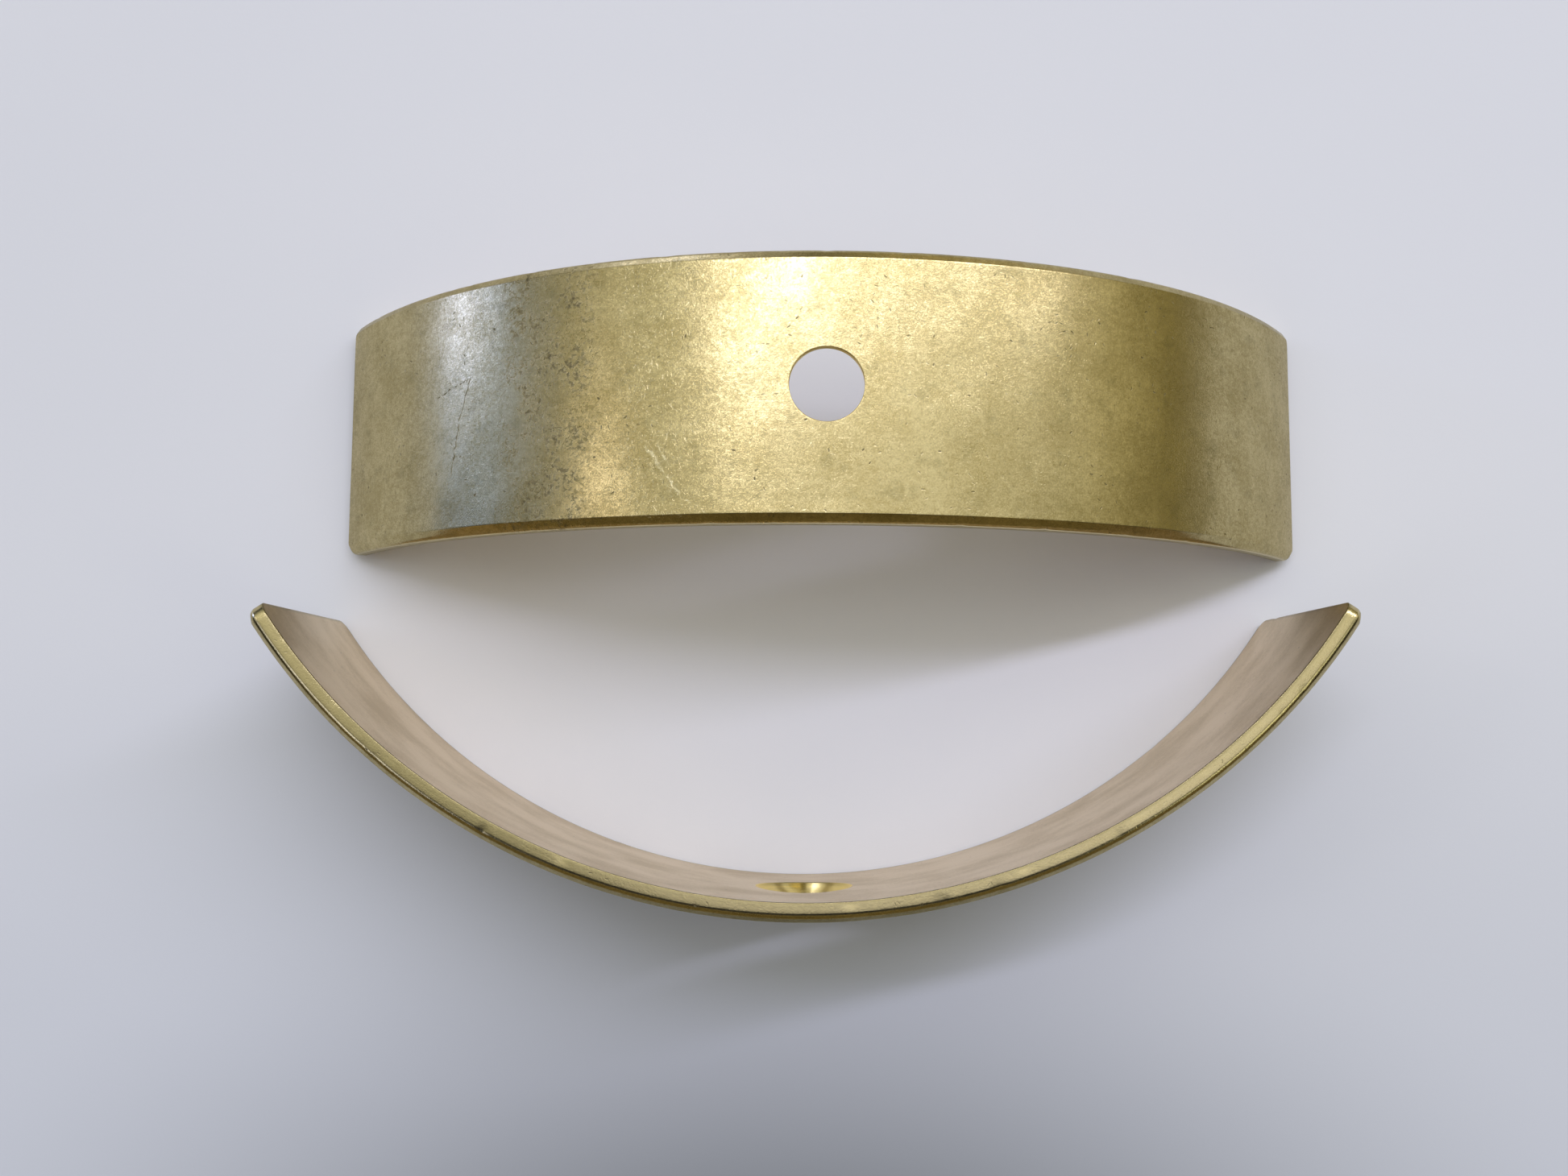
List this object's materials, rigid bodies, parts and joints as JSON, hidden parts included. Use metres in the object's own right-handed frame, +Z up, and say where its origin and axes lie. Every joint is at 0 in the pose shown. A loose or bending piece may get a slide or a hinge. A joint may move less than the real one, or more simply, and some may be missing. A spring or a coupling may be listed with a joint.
{
  "type": "hand clapper plates",
  "caption": "Arched brass clapper plates with bevelled edges and a countersunk hole at the crown, held in the hand and struck together to ring, like finger cymbals.",
  "frame": {"origin": "on the table, at the centre of the pair's overall box", "axes": "+X along the plates from end to end, +Z up from the table, -Y from the lying plate towards the standing plate"},
  "size_m": [0.111, 0.065, 0.0309],
  "materials": {
    "tumbled_brass": "tumbled and lightly tarnished, satin with fine scratches"
  },
  "bodies": {
    "lying": {"lying_plate": "tumbled_brass"},
    "standing": {"standing_plate": "tumbled_brass"}
  },
  "joints": [
    {"name": "pull_apart", "type": "slide", "parent": "lying", "child": "standing", "axis": [0, -1, 0], "range_m": [-0.0066, 0.06]}
  ]
}
